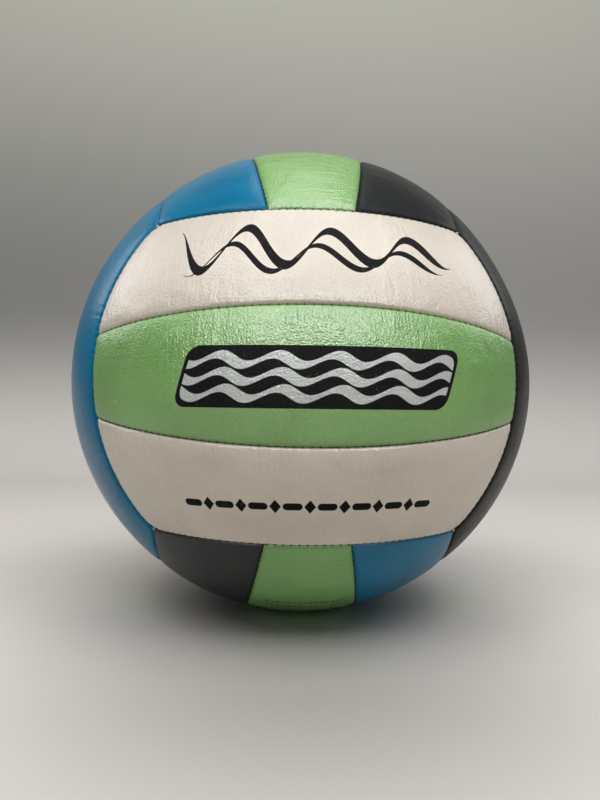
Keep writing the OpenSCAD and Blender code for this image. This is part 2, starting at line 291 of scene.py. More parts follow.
class StripGrid:
    """A grid of points over one strip of a face, with lines close together beside its seams."""

    def __init__(self, face, strip, step):
        self.face_corner, self.strip = face.corner, strip
        middle_offset = (strip.low.offset + strip.high.offset) / 2
        middle_tilt = (strip.low.tilt + strip.high.tilt) / 2
        radius = circle_of(middle_offset, middle_tilt)[1]
        self.length = 2 * BALL_RADIUS * radius * end_angle(middle_offset, middle_tilt)
        low, high = (math.atan2(*point_at(*seam, 0.0)[1:]) for seam in (strip.low, strip.high))
        self.width = BALL_RADIUS * (high - low)
        self.x, x_gap = grid_lines(self.length, step)
        self.y, y_gap = grid_lines(self.width, step)
        self.gap = np.minimum(x_gap[:, None], y_gap[None, :])

    def directions(self, inset):
        """Unit vectors (u, v, n) of the grid, drawn in by inset from the seams."""
        x = self.x[:, None] * (1 - 2 * inset / self.length)
        y = self.y[None, :] * (1 - 2 * inset / self.width)
        x, y = np.broadcast_arrays(x, y)
        outer_corner = (y > 0) & (self.strip.high is BORDER)
        radius = np.where(outer_corner, self.face_corner, STRIP_CORNER)
        x, y = round_corners(x, y, self.length - 2 * inset, self.width - 2 * inset, radius)
        share = 0.5 + self._across_share(x, y)
        low, high = self.strip.low, self.strip.high
        offset = low.offset + (high.offset - low.offset) * share
        tilt = low.tilt + (high.tilt - low.tilt) * share
        radius = circle_of(offset, tilt)[1]
        half = BALL_RADIUS * radius * end_angle(offset, tilt)
        inner = self.length / 2 - EDGE_BAND
        near_end = np.sign(x) * (half - (self.length / 2 - np.abs(x)))
        angle = np.where(np.abs(x) > inner, near_end, x / inner * (half - EDGE_BAND))
        return point_at(offset, tilt, angle / (BALL_RADIUS * radius))

    def _across_share(self, x, y):
        """Where a place lies between the strip's seams, from -0.5 to 0.5. It narrows to its ends."""
        along = np.abs(x) / (self.length / 2)
        low, high = (point_at(*s, along * end_angle(*s)) for s in (self.strip.low, self.strip.high))
        dot = np.clip((low * high).sum(-1), -1, 1)
        width = BALL_RADIUS * np.arccos(dot)
        inner = self.width / 2 - EDGE_BAND
        near_side = np.sign(y) * (width / 2 - (self.width / 2 - np.abs(y)))
        return np.where(np.abs(y) > inner, near_side, y / inner * (width / 2 - EDGE_BAND)) / width


def swell(directions):
    """How far the ball stands proud of a true ball in those directions."""
    x, y, z = np.moveaxis(directions, -1, 0)
    mean_of_powers = 3 / 5
    bulge = PLUMPNESS + FACE_BULGE * (x**4 + y**4 + z**4 - mean_of_powers)
    angle = np.degrees(np.arccos(np.clip(directions @ unit(np.array(DENT_TOWARDS)), -1, 1)))
    bulge = bulge - DENT_DEPTH * np.exp(-((angle / DENT_ANGLE) ** 2))
    from_valve = BALL_RADIUS * np.arccos(np.clip(y, -1, 1))
    return bulge - VALVE_HOLLOW * np.exp(-((from_valve / VALVE_HOLLOW_RADIUS) ** 2))


def roll_depth(gap):
    """How deep a panel's surface lies at that distance from its edge."""
    short = np.clip(ROLL_REACH - gap, 0, None)
    roll = ROLL_RADIUS - np.sqrt(ROLL_RADIUS**2 - short**2)
    lip = LIP_DEPTH * np.exp(-((gap / LIP_REACH) ** 2))
    return roll + lip + CROWN_DROP * np.exp(-gap / CROWN_REACH)


def pucker_depth(local):
    """How deep the stitches pull the panels in, at points of a face."""
    strip_gap, border_gap, end_gap = edge_distances(local)
    u, v, _ = np.moveaxis(local, -1, 0)
    strip_radius, border_radius = circle_of(*STRIP_SEAM)[1], circle_of(*BORDER)[1]
    depth = 0
    for gap, radius, side in (
        (strip_gap, strip_radius, u), (border_gap, border_radius, u), (end_gap, border_radius, v),
    ):
        place = BALL_RADIUS * radius * np.arcsin(np.clip(side / radius, -1, 1))
        pull = 0.5 + 0.5 * np.cos(math.tau * place / STITCH_PITCH)
        depth = depth + pull**2 * np.exp(-((gap / PUCKER_REACH) ** 2))
    return PUCKER_DEPTH * np.minimum(depth, 1)


def shaped(directions, face, turned, depth, puckered=False):
    """Points in the row frame at a depth under the swelling ball's surface, and flat where it rests."""
    if puckered:
        depth = depth + pucker_depth(directions * (turned, turned, 1))
    world = to_world(directions, face, turned)
    points = world * (BALL_RADIUS + swell(world) - depth)[..., None]
    points[..., 2] = np.maximum(points[..., 2], FLOOR_HEIGHT + np.clip(depth, 0, None))
    return points


def ring_of(columns, rows):
    """Grid indices round the outside of a grid, in order."""
    ring = [(i, 0) for i in range(columns - 1)]
    ring += [(columns - 1, j) for j in range(rows - 1)]
    ring += [(i, rows - 1) for i in range(columns - 1, 0, -1)]
    return ring + [(0, j) for j in range(rows - 1, 0, -1)]


def add_object(name, data):
    """A new object in the scene."""
    thing = bpy.data.objects.new(name, data)
    bpy.context.scene.collection.objects.link(thing)
    return thing


class MeshBuilder:
    """Collects points and faces for one mesh."""

    def __init__(self):
        self.points, self.faces, self.count = [], [], 0

    def add(self, points):
        """Adds points and returns the index of the first."""
        start = self.count
        self.points.append(points)
        self.count += len(points)
        return start

    def grid(self, points, flip=False):
        """Adds a grid of quads and returns the index of each of its points."""
        columns, rows = points.shape[:2]
        index = self.add(points.reshape(-1, 3)) + np.arange(columns * rows).reshape(columns, rows)
        quads = np.stack([index[:-1, :-1], index[1:, :-1], index[1:, 1:], index[:-1, 1:]], -1)
        quads = quads.reshape(-1, 4)
        self.faces += (quads[:, ::-1] if flip else quads).tolist()
        return index

    def coarse_grid(self, points):
        """Adds the underside of a grid in fewer, larger faces, with every point of its border."""
        columns, rows = points.shape[:2]
        marks_i = sorted({*range(0, columns - 1, COARSE_STEP), columns - 1})
        marks_j = sorted({*range(0, rows - 1, COARSE_STEP), rows - 1})
        ring = ring_of(columns, rows)
        chosen = ring + [(i, j) for i in marks_i[1:-1] for j in marks_j[1:-1]]
        start = self.add(np.array([points[i, j] for i, j in chosen]))
        index = {place: start + k for k, place in enumerate(chosen)}
        for i0, i1 in zip(marks_i, marks_i[1:]):
            for j0, j1 in zip(marks_j, marks_j[1:]):
                cell = [(i, j0) for i in (range(i0, i1) if j0 == 0 else [i0])]
                cell += [(i1, j) for j in (range(j0, j1) if i1 == columns - 1 else [j0])]
                cell += [(i, j1) for i in (range(i1, i0, -1) if j1 == rows - 1 else [i1])]
                cell += [(i0, j) for j in (range(j1, j0, -1) if i0 == 0 else [j1])]
                self.faces.append([index[place] for place in reversed(cell)])
        return [index[place] for place in ring]

    def band(self, first, second):
        """Joins two closed rings of the same length."""
        for k in range(len(first)):
            following = (k + 1) % len(first)
            self.faces.append([first[following], first[k], second[k], second[following]])

    def tube(self, rings, flip=False):
        """Adds a tube through rings of points, with a face over each end."""
        count, sides = rings.shape[:2]
        index = self.add(rings.reshape(-1, 3)) + np.arange(count * sides).reshape(count, sides)
        if flip:
            index = index[:, ::-1]
        for first, second in zip(index, index[1:]):
            self.band(first.tolist(), second.tolist())
        self.faces += [index[0].tolist(), index[-1][::-1].tolist()]

    def finish(self, name):
        """Makes a smooth-shaded mesh object of what was added."""
        mesh = bpy.data.meshes.new(name)
        points = np.concatenate(self.points).astype(np.float32)
        sizes = np.array([len(f) for f in self.faces], np.int32)
        mesh.vertices.add(len(points))
        mesh.vertices.foreach_set("co", points.ravel())
        mesh.loops.add(int(sizes.sum()))
        corners = np.fromiter((v for f in self.faces for v in f), np.int32)
        mesh.loops.foreach_set("vertex_index", corners)
        mesh.polygons.add(len(sizes))
        starts = (np.cumsum(sizes) - sizes).astype(np.int32)
        mesh.polygons.foreach_set("loop_start", starts)
        mesh.polygons.foreach_set("use_smooth", np.ones(len(sizes), bool))
        mesh.update(calc_edges=True)
        mesh.validate()
        return add_object(name, mesh)


def make_skin(name, face, strip):
    """A cover panel's skin: its crowned outer face, its turned-in edges and its underside."""
    grid = StripGrid(face, strip, GRID_STEP)
    build = MeshBuilder()
    outer = shaped(grid.directions(SEAM_GAP), face, strip.turned, roll_depth(grid.gap), puckered=True)
    index = build.grid(outer)
    columns, rows = outer.shape[:2]
    ring = ring_of(columns, rows)
    above = [index[place] for place in ring]
    walls = ((SHOULDER_INSET, SHOULDER_DEPTH), (WALL_INSET, WALL_DEPTH), (SKIN_THICKNESS, WALL_DEPTH))
    for inset, depth in walls:
        level = shaped(grid.directions(inset), face, strip.turned, np.full_like(grid.gap, depth))
        start = build.add(np.array([level[place] for place in ring]))
        below = list(range(start, start + len(ring)))
        build.band(above, below)
        above = below
    under = roll_depth(grid.gap + SKIN_THICKNESS) + SKIN_THICKNESS
    inner = shaped(grid.directions(SKIN_THICKNESS + SEAM_GAP), face, strip.turned, under)
    build.band(above, build.coarse_grid(inner))
    return build.finish(name)


def make_pad(name, face, strip):
    """The foam pad bonded under a skin."""
    grid = StripGrid(face, strip, PAD_STEP)
    build = MeshBuilder()
    top_depth = PAD_TOP_DEPTH + roll_depth(grid.gap + PAD_INSET)
    top = shaped(grid.directions(PAD_INSET), face, strip.turned, top_depth)
    base_depth = np.full_like(grid.gap, PAD_TOP_DEPTH + PAD_THICKNESS)
    base = shaped(grid.directions(PAD_INSET), face, strip.turned, base_depth)
    ring = ring_of(*top.shape[:2])
    upper = build.grid(top)
    lower = build.grid(base, flip=True)
    build.band([upper[place] for place in ring], [lower[place] for place in ring])
    return build.finish(name)


def bore_valve_hole(skin):
    """Cuts the round hole over the valve."""
    bpy.ops.mesh.primitive_cylinder_add(
        vertices=VALVE_HOLE_SIDES, radius=VALVE_HOLE_RADIUS, depth=VALVE_CUT_LENGTH,
        location=(0, BALL_RADIUS, 0), rotation=(math.pi / 2, 0, 0),
    )
    cutter = bpy.context.object
    cut = skin.modifiers.new("valve_hole", "BOOLEAN")
    cut.operation, cut.object, cut.solver = "DIFFERENCE", cutter, "EXACT"
    bpy.context.view_layer.update()
    bored = skin.evaluated_get(bpy.context.evaluated_depsgraph_get())
    mesh = bpy.data.meshes.new_from_object(bored)
    skin.modifiers.clear()
    skin.data = mesh
    bpy.data.objects.remove(cutter)


def label_skin(skin, face, strip):
    """Gives a skin's points their places in millimetres, which its material reads."""
    points = np.zeros(len(skin.data.vertices) * 3, np.float32)
    skin.data.vertices.foreach_get("co", points)
    points = points.reshape(-1, 3).astype(float)
    radius = np.linalg.norm(points, axis=1)
    local = from_world(points, face)
    u, v, n = local.T
    strip_gap, border_gap, end_gap = edge_distances(local)
    middle = strip.low is MIRRORED_SEAM
    side_gap = -strip_gap if middle else np.minimum(strip_gap, border_gap)
    latitude = np.arcsin(v)
    centre = 0.0 if middle else strip.turned * math.radians((STRIP_HALF_ANGLE + FACE_HALF_ANGLE) / 2)
    values = {
        "along": BALL_RADIUS * math.cos(centre) * np.arctan2(u, n),
        "across": BALL_RADIUS * (latitude - centre),
        "side_gap": side_gap,
        "end_gap": end_gap,
        "below": BALL_RADIUS + swell(points / radius[:, None]) - radius,
    }
    for name, value in values.items():
        layer = skin.data.attributes.new(name, "FLOAT", "POINT")
        layer.data.foreach_set("value", (value / MM).astype(np.float32))


def stitch_places():
    """A face's stitches: each one's point on its seam, the ways along and across it, and its shift."""
    small_angle = 1e-4
    for seam, short_by, shift in SEWN_SEAMS:
        radius = circle_of(*seam)[1]
        half = BALL_RADIUS * radius * end_angle(*seam) - short_by
        for k in range(-int(half / STITCH_PITCH), int(half / STITCH_PITCH) + 1):
            angle = k * STITCH_PITCH / (BALL_RADIUS * radius)
            here, on = (point_at(*seam, a) for a in (angle, angle + small_angle))
            along = unit(on - here)
            yield here, along, np.cross(here, along), shift


def stitch_rings(here, along, across, shift, draws):
    """Rings round one stitch's thread, on a ball of radius 1."""
    slant, slip, sink = draws.normal(0, 1, 3) * STITCH_SCATTER
    ring = THREAD_RADIUS / BALL_RADIUS * circle(THREAD_SIDES, along, here)
    rings = []
    for share, dip in STITCH_PATH:
        side = (THREAD_REACH * share + shift) / BALL_RADIUS
        way = unit(here + side * across + (side * slant + slip * MM / BALL_RADIUS) * along)
        depth = THREAD_DEPTH + (dip + sink) * MM
        rings.append(way * (1 - depth / BALL_RADIUS) + ring)
    return np.array(rings)


def make_stitches(name, face, draws):
    """All the thread that shows in one face's seams."""
    build = MeshBuilder()
    for turned in (1, -1):
        for here, along, across, shift in stitch_places():
            rings = stitch_rings(here, along, across, shift, draws)
            level = BALL_RADIUS + swell(to_world(here, face, turned))
            world = to_world(rings, face, turned) * level
            world[..., 2] = np.maximum(world[..., 2], FLOOR_HEIGHT + THREAD_RADIUS)
            build.tube(world)
    return build.finish(name)


def knot_path(corner, side):
    """Points along a knot's thread, over the corner where three faces meet."""
    middle = corner * (BALL_RADIUS + swell(corner) - KNOT_DEPTH)
    other = np.cross(corner, side)
    return [
        middle + KNOT_WIDTH * (math.cos(a) * side + math.sin(a) * other) * (1 - a / KNOT_VANISHING)
        + corner * KNOT_LIFT * math.sin(a * KNOT_RISES)
        for a in np.linspace(0, KNOT_WINDING, KNOT_POINTS)
    ]


def rings_along(path, upward):
    """Rings of a knot's thread round each point of its path."""
    rings = []
    for k, centre in enumerate(path):
        ahead = unit(path[min(k + 1, len(path) - 1)] - path[max(k - 1, 0)])
        out = unit(np.cross(ahead, upward))
        rings.append(centre + KNOT_RADIUS * circle(KNOT_SIDES, out, np.cross(out, ahead)))
    return np.array(rings)


def make_knots(name, face, draws):
    """Small thread ends, tied off where three faces meet."""
    build = MeshBuilder()
    for su in (1, -1):
        for sv in (1, -1):
            corner = to_world(np.array((su, sv, 1)) / math.sqrt(3), face)
            side = unit(np.cross(corner, draws.normal(0, 1, 3)))
            build.tube(rings_along(knot_path(corner, side), corner), flip=True)
    return build.finish(name)


class Nodes:
    """Short calls that build a material's nodes. Numbers and sockets can be mixed."""

    def __init__(self, name):
        self.material = bpy.data.materials.new(name)
        self.material.use_nodes = True
        self.tree = self.material.node_tree
        self.shader = self.tree.nodes["Principled BSDF"]

    def plug(self, socket, value):
        """Links a socket to another, or gives it a value."""
        if isinstance(value, bpy.types.NodeSocket):
            self.tree.links.new(value, socket)
        else:
            socket.default_value = value

    def node(self, kind, *values, **settings):
        """A new node with those values in its first inputs."""
        node = self.tree.nodes.new("ShaderNode" + kind)
        for name, setting in settings.items():
            setattr(node, name, setting)
        for socket, value in zip(node.inputs, values):
            self.plug(socket, value)
        return node

    def math(self, operation, *values):
        return self.node("Math", *values, operation=operation).outputs[0]

    def add(self, a, b):
        return self.math("ADD", a, b)

    def sub(self, a, b):
        return self.math("SUBTRACT", a, b)

    def mul(self, a, b):
        return self.math("MULTIPLY", a, b)

    def abs(self, a):
        return self.math("ABSOLUTE", a)

    def most(self, a, b):
        return self.math("MAXIMUM", a, b)

    def wave(self, turn, mean, swing, kind="SINE"):
        """A sine or cosine of an angle in radians, swinging about a mean."""
        return self.add(mean, self.mul(self.math(kind, turn), swing))

    def repeat(self, value, pitch):
        """Where a value lies in its stretch of that pitch, from 0 to 1."""
        return self.math("FRACT", self.math("DIVIDE", value, pitch))

    def smooth(self, value, low, high, to_low=0.0, to_high=1.0):
        """Eases from to_low to to_high as value goes from low to high."""
        values = (value, low, high, to_low, to_high)
        return self.node("MapRange", *values, interpolation_type="SMOOTHSTEP").outputs[0]

    def fade(self, value, low, high):
        """Eases from 1 to 0 as value goes from low to high."""
        return self.smooth(value, low, high, 1.0, 0.0)

    def attribute(self, name):
        return self.node("Attribute", attribute_name=name).outputs["Fac"]

    def position(self):
        """The object's own coordinates, in millimetres."""
        place = self.node("TexCoord").outputs["Object"]
        return self.node("VectorMath", place, (1 / MM,) * 3, operation="MULTIPLY").outputs[0]

    def vector(self, x, y, z=0.0):
        return self.node("CombineXYZ", x, y, z).outputs[0]

    def shift(self, vector, amount, by):
        """A vector moved by a share of another."""
        return self.node("VectorMath", by, (amount,) * 3, vector, operation="MULTIPLY_ADD").outputs[0]

    def dot(self, vector, axis):
        return self.node("VectorMath", vector, axis, operation="DOT_PRODUCT").outputs["Value"]

    def length(self, vector):
        return self.node("VectorMath", vector, operation="LENGTH").outputs["Value"]

    def noise(self, vector, size, detail=2.0, colour=False):
        node = self.node("TexNoise", vector)
        node.inputs["Scale"].default_value = 1 / size
        node.inputs["Detail"].default_value = detail
        return node.outputs["Color" if colour else "Fac"]

    def cells(self, vector, size):
        """Distance to the middle of the nearest cell."""
        node = self.node("TexVoronoi", vector)
        node.inputs["Scale"].default_value = 1 / size
        return node.outputs["Distance"]

    def mix(self, share, a, b):
        """A colour between a and b."""
        node = self.node("Mix", data_type="RGBA")
        self.plug(node.inputs["Factor"], share)
        self.plug(node.inputs["A"], a)
        self.plug(node.inputs["B"], b)
        return node.outputs["Result"]

    def bump(self, height, distance):
        """Bump from a height, where distance is in metres."""
        node = self.node("Bump")
        node.inputs["Distance"].default_value = distance
        self.plug(node.inputs["Height"], height)
        return node.outputs[0]

    def set(self, **values):
        """Sets the shader's own sockets, with _ for a space in a socket's name."""
        for name, value in values.items():
            self.plug(self.shader.inputs[name.replace("_", " ")], value)


def seen_directly(tree):
    """A socket that is 1 for what the camera sees, also in reflections and through glass."""
    rays = tree.nodes.new("ShaderNodeLightPath")
    seen = rays.outputs["Is Camera Ray"]
    for kind in ("Is Glossy Ray", "Is Transmission Ray"):
        either = tree.nodes.new("ShaderNodeMath")
        either.operation = "MAXIMUM"
        tree.links.new(seen, either.inputs[0])
        tree.links.new(rays.outputs[kind], either.inputs[1])
        seen = either.outputs[0]
    return seen


def mix_shaders(tree, share, a, b):
    """A shader output between a and b."""
    node = tree.nodes.new("ShaderNodeMixShader")
    for socket, source in zip(node.inputs, (share, a, b)):
        tree.links.new(source, socket)
    return node.outputs[0]


def colour(red, green, blue):
    """An sRGB colour from 0 to 255 as linear light."""
    def linear(x):
        x /= 255
        return x / 12.92 if x <= 0.04045 else ((x + 0.055) / 1.055) ** 2.4

    return (linear(red), linear(green), linear(blue), 1.0)


# Sizes of the leather's textures, in millimetres
PEBBLE_SIZE, PEBBLE_WARP, FINE_SIZE, SOFT_SIZE = 0.8, 1.9, 0.42, 4.5
STREAK_SIZE, FOLD_SIZE, BEND_SIZE, PATCH_SIZE = 0.95, 2.3, 9.0, 16.0
RIPPLE_SIZE, RIPPLED_SIZE = 0.9, 13.0
MOTTLE_SIZE, EDGE_SOIL_AND_SHADE_SIZE, GLOSS_SIZE = 30.0, 2.4, 5.0
LEATHER_RELIEF = 0.25 * MM


def crease_height(g, along, across, creased):
    """Fine creases that run in from the long seams, and ripples along the strip in places."""
    place = g.position()
    bent = g.add(along, g.mul(g.noise(place, BEND_SIZE, detail=1.0), 3.4))
    streaks = g.noise(g.vector(bent, g.mul(across, 0.1)), STREAK_SIZE, detail=1.5)
    folds = g.noise(g.vector(bent, g.mul(across, 0.13), 7.0), FOLD_SIZE, detail=1.0)
    patches = g.smooth(g.noise(place, PATCH_SIZE, detail=1.0), 0.42, 0.62)
    near = g.smooth(g.attribute("side_gap"), 3.0, 26.0, 1.0, 0.25)
    creases = g.mul(g.mul(near, g.add(0.4, patches)), g.add(streaks, g.mul(folds, 1.8)))
    ripples = g.noise(g.vector(g.mul(along, 0.13), across, 3.0), RIPPLE_SIZE)
    rippled = g.mul(g.smooth(g.noise(place, RIPPLED_SIZE), 0.45, 0.7), ripples)
    relief = g.add(g.mul(creases, creased), g.mul(rippled, 0.5 * creased))
    return relief, patches


def grain_height(g, pebbled):
    """Pebbled grain over a soft unevenness."""
    place = g.position()
    warp = g.noise(place, PEBBLE_WARP, detail=1.0, colour=True)
    pebbles = g.cells(g.shift(place, 1.0, warp), PEBBLE_SIZE)
    fine = g.noise(place, FINE_SIZE, detail=1.0)
    soft = g.noise(place, SOFT_SIZE)
    grain = g.mul(g.add(g.mul(pebbles, -0.5), g.mul(fine, 0.22)), pebbled)
    return g.add(grain, g.mul(soft, 0.5)), pebbles


def leather_tint(g, kind, pebbles):
    """The leather's colour: mottled, painted shade in its grain's valleys, soil and painted shade at
    edges and seams.
    """
    place, shade = g.position(), kind.shade
    mottles = g.smooth(g.noise(place, MOTTLE_SIZE, detail=3.0), 0.35, 0.7, 0.0, 0.35)
    tint = g.mix(mottles, kind.base, shade)
    # Painted shade: darker in the valleys between the pebbles of the grain
    tint = g.mix(g.smooth(pebbles, 0.35, 0.75, 0.0, 0.13 * kind.pebbled), tint, shade)
    nearest = g.math("MINIMUM", g.attribute("side_gap"), g.attribute("end_gap"))
    # Soil and painted shade: darker within about a millimetre and a half of the seams, along a ragged
    # line
    ragged = g.add(nearest, g.mul(g.noise(place, EDGE_SOIL_AND_SHADE_SIZE, detail=3.0), -0.9))
    tint = g.mix(g.smooth(ragged, 0.1, 1.4, 0.28, 0.0), tint, shade)
    # Painted shade: the turned-in walls deep in the seams go nearly black
    seam_shade = g.smooth(g.attribute("below"), 1.8, 2.8, 0.0, 0.85)
    return g.mix(seam_shade, tint, colour(22, 21, 19))


def leather(name, kind, print_on=None):
    """Coated synthetic leather of that kind, with any print."""
    g = Nodes("leather_" + name)
    along, across = g.attribute("along"), g.attribute("across")
    relief, patches = crease_height(g, along, across, kind.creased)
    grain, pebbles = grain_height(g, kind.pebbled)
    tint = leather_tint(g, kind, pebbles)
    roughness = g.add(kind.rough, g.mul(g.sub(g.noise(g.position(), GLOSS_SIZE), 0.5), 0.07))
    roughness = g.add(roughness, g.mul(patches, -0.03))
    if print_on:
        tint, roughness = print_on(g, tint, roughness, along, across)
    g.set(Base_Color=tint, Roughness=roughness, IOR=kind.ior)
    g.set(Normal=g.bump(g.add(grain, relief), LEATHER_RELIEF))
    return g.material


# Ink, which shines like a black metal, so that it looks deep, and silver ink
INK_METAL = 0.93
INK_ROUGHNESS = 0.62
SILVER_ROUGHNESS = 0.34


def ink(g, mask, tint, roughness, black):
    """Lays black ink over a tint, thinner where the grain lifts it."""
    dry = g.smooth(g.noise(g.position(), 0.8, detail=3.0), 0.22, 0.38)
    cover = g.mul(mask, g.add(0.9, g.mul(dry, 0.1)))
    g.set(Metallic=g.mul(cover, INK_METAL))
    inked = g.add(g.mul(g.sub(1.0, cover), roughness), g.mul(cover, INK_ROUGHNESS))
    return g.mix(cover, tint, black), inked


def stroke(g, y, centre, half_width, soft=0.18):
    """A mask for the line where y is near centre."""
    off = g.abs(g.sub(y, centre))
    return g.fade(g.sub(off, half_width), -soft, soft)


def within(g, x, low, high, soft=0.4):
    """A mask for low < x < high."""
    return g.mul(g.smooth(x, low - soft, low + soft), g.fade(x, high - soft, high + soft))


# A brush stroke along a wave: wavelength, height and phase in radians, then how far it lies above the
# strip's middle, its half width, and where it starts and ends
Brush = namedtuple("Brush", "length tall phase rise thick low high")
BRUSHES = (
    Brush(31.0, 9.6, 0.3, 1.4, 1.9, -54.0, 55.0),
    Brush(31.0, 6.6, 1.25, -3.4, 1.15, -47.0, 50.0),
)
# Its tapered ends, the share of its width at their tips, and how much flatter the wave gets
BRUSH_TAPER, BRUSH_TIP, BRUSH_FLATTENED = 12, 0.1, 0.55


def wave_print(g, tint, roughness, along, across):
    """Two brush strokes that run together as a wave, thick on the way down and thin on the way up."""
    mask = 0.0
    for brush in BRUSHES:
        low, high = brush.low, brush.high
        turn = g.mul(g.add(along, brush.phase * brush.length / math.tau), math.tau / brush.length)
        flatter = g.smooth(along, low, high, 1.0, BRUSH_FLATTENED)
        centre = g.add(brush.rise, g.mul(g.mul(g.math("SINE", turn), brush.tall), flatter))
        start = g.smooth(along, low, low + BRUSH_TAPER, BRUSH_TIP, 1.0)
        end = g.smooth(along, high - BRUSH_TAPER, high, 1.0, BRUSH_TIP)
        width = g.mul(g.mul(g.wave(turn, 1.0, -0.55, "COSINE"), brush.thick), g.mul(start, end))
        line = g.mul(stroke(g, across, centre, width), within(g, along, low, high))
        mask = g.most(mask, line)
    return ink(g, mask, tint, roughness, colour(16, 15, 15))


# The plate: half sizes, corner radius, slant and place of its middle, then its three silver waves
PLATE_X, PLATE_Y, PLATE_CORNER = 51.0, 10.9, 4.6
PLATE_SLANT = 0.32
PLATE_AT = (3.0, -0.6)
PLATE_RIM = 1.6
SILVER_LENGTH, SILVER_TALL, SILVER_APART, SILVER_SHIFT = 20.4, 1.75, 5.8, 2.5


def badge_print(g, tint, roughness, along, across):
    """A black slanted plate with silver waves."""
    x = g.sub(g.sub(along, g.mul(across, PLATE_SLANT)), PLATE_AT[0])
    y = g.sub(across, PLATE_AT[1])

    def plate(inset):
        ax = g.most(g.sub(g.abs(x), PLATE_X - PLATE_CORNER - inset), 0.0)
        ay = g.most(g.sub(g.abs(y), PLATE_Y - PLATE_CORNER - inset), 0.0)
        away = g.length(g.vector(ax, ay))
        return g.fade(g.sub(away, PLATE_CORNER), -0.15, 0.15)

    tint, roughness = ink(g, plate(0.0), tint, roughness, colour(7, 8, 9))
    silver = 0.0
    for row in (-1, 0, 1):
        turn = g.mul(g.add(x, SILVER_SHIFT * row), math.tau / SILVER_LENGTH)
        centre = g.wave(turn, row * SILVER_APART, SILVER_TALL)
        width = g.wave(turn, 1.4, -0.5, "COSINE")
        silver = g.most(silver, stroke(g, y, centre, width, 0.15))
    silver = g.mul(silver, plate(PLATE_RIM))
    speckle = g.smooth(g.noise(g.position(), 0.5), 0.3, 0.7)
    grey = g.mix(speckle, colour(176, 183, 178), colour(206, 212, 207))
    tint = g.mix(silver, tint, grey)
    g.set(Metallic=g.mul(g.sub(plate(0.0), silver), INK_METAL))
    return tint, g.add(g.mul(g.sub(1.0, silver), roughness), g.mul(silver, SILVER_ROUGHNESS))


# The dashes: their pitch, their drop below the strip's middle, half a dash's straight sides and half its
# width, then a diamond's half height and how many half widths that is
DASH_PITCH, DASH_DROP = 12.6, 1.6
DASH_HALF, DASH_RADIUS = 2.1, 1.5
DIAMOND_HALF, DIAMOND_TALLER = 2.9, 1.35
DASH_ROW_HALF = 3.84 * DASH_PITCH


def dash_print(g, tint, roughness, along, across):
    """A row of short dashes with a diamond between each pair."""
    y = g.abs(g.add(across, DASH_DROP))
    share = g.repeat(g.add(along, 100 * DASH_PITCH), DASH_PITCH)
    x = g.abs(g.sub(g.mul(share, DASH_PITCH), DASH_PITCH / 2))
    away = g.length(g.vector(g.most(g.sub(x, DASH_HALF), 0.0), y))
    dashes = g.fade(g.sub(away, DASH_RADIUS), -0.12, 0.12)
    side = g.mul(g.sub(DASH_PITCH / 2, x), DIAMOND_TALLER)
    diamonds = g.fade(g.sub(g.add(side, y), DIAMOND_HALF), -0.15, 0.15)
    row = within(g, along, -DASH_ROW_HALF, DASH_ROW_HALF, 0.1)
    return ink(g, g.mul(g.most(dashes, diamonds), row), tint, roughness, colour(20, 19, 20))


# The ticks: their pitch and their rows' pitch, where each count starts, and the field they fill
TICK_PITCH, TICK_ROW_PITCH = 2.3, 6.5
TICK_START, TICK_ROW_START = -99.0, -97.2
TICK_FIELD_HALF = 17.0
TICK_FIELD_ENDS = (-58.5, -38.5)


def tick_print(g, tint, roughness, along, across):
    """Three rows of tiny worn grey ticks near the front end of the panel the ball rests on."""
    x = g.sub(g.repeat(g.sub(across, TICK_START), TICK_PITCH), 0.5)
    y = g.sub(g.repeat(g.sub(along, TICK_ROW_START), TICK_ROW_PITCH), 0.5)
    ticks = g.fade(g.abs(x), 0.3, 0.38)
    rows = g.fade(g.abs(y), 0.22, 0.28)
    sides = within(g, across, -TICK_FIELD_HALF, TICK_FIELD_HALF)
    field = g.mul(sides, within(g, along, *TICK_FIELD_ENDS))
    ragged = g.smooth(g.noise(g.position(), 3.0), 0.36, 0.55)
    mask = g.mul(g.mul(ticks, rows), g.mul(field, ragged))
    return g.mix(g.mul(mask, 0.8), tint, colour(56, 70, 56)), roughness


def thread_material(name, base, dark):
    """Twisted thread: a fine lay across it."""
    g = Nodes(name)
    lay = g.noise(g.position(), 0.16)
    g.set(Base_Color=g.mix(lay, dark, base), Roughness=g.add(0.55, g.mul(lay, 0.25)))
    g.set(Sheen_Weight=0.2, Normal=g.bump(lay, 0.05 * MM))
    return g.material


def rubber_material(name, kind):
    """Moulded rubber: a fine matt texture with dusty patches."""
    g = Nodes(name)
    place = g.position()
    fine = g.noise(place, kind.size, detail=3.0)
    dust = g.mul(g.smooth(g.noise(place, 9.0, detail=3.0), 0.4, 0.75), 0.6)
    g.set(Base_Color=g.mix(dust, kind.base, kind.dust), Roughness=g.add(kind.rough, g.mul(fine, 0.2)))
    g.set(Normal=g.bump(g.add(fine, g.mul(g.cells(place, kind.size * 1.6), 0.4)), kind.relief))
    return g.material


def foam_material():
    """Open-cell foam: small round pores of several sizes."""
    g = Nodes("pad_foam")
    place = g.position()
    pores = g.cells(place, 0.55)
    holes = g.cells(place, 1.4)
    height = g.add(g.mul(pores, 0.6), g.mul(holes, 0.5))
    # Painted shade: the foam is darker deep in its pores
    shade = g.smooth(height, 0.1, 0.5)
    g.set(Base_Color=g.mix(shade, colour(188, 180, 160), colour(232, 226, 208)), Roughness=0.95)
    g.set(Sheen_Weight=0.1, Normal=g.bump(height, 0.3 * MM))
    return g.material


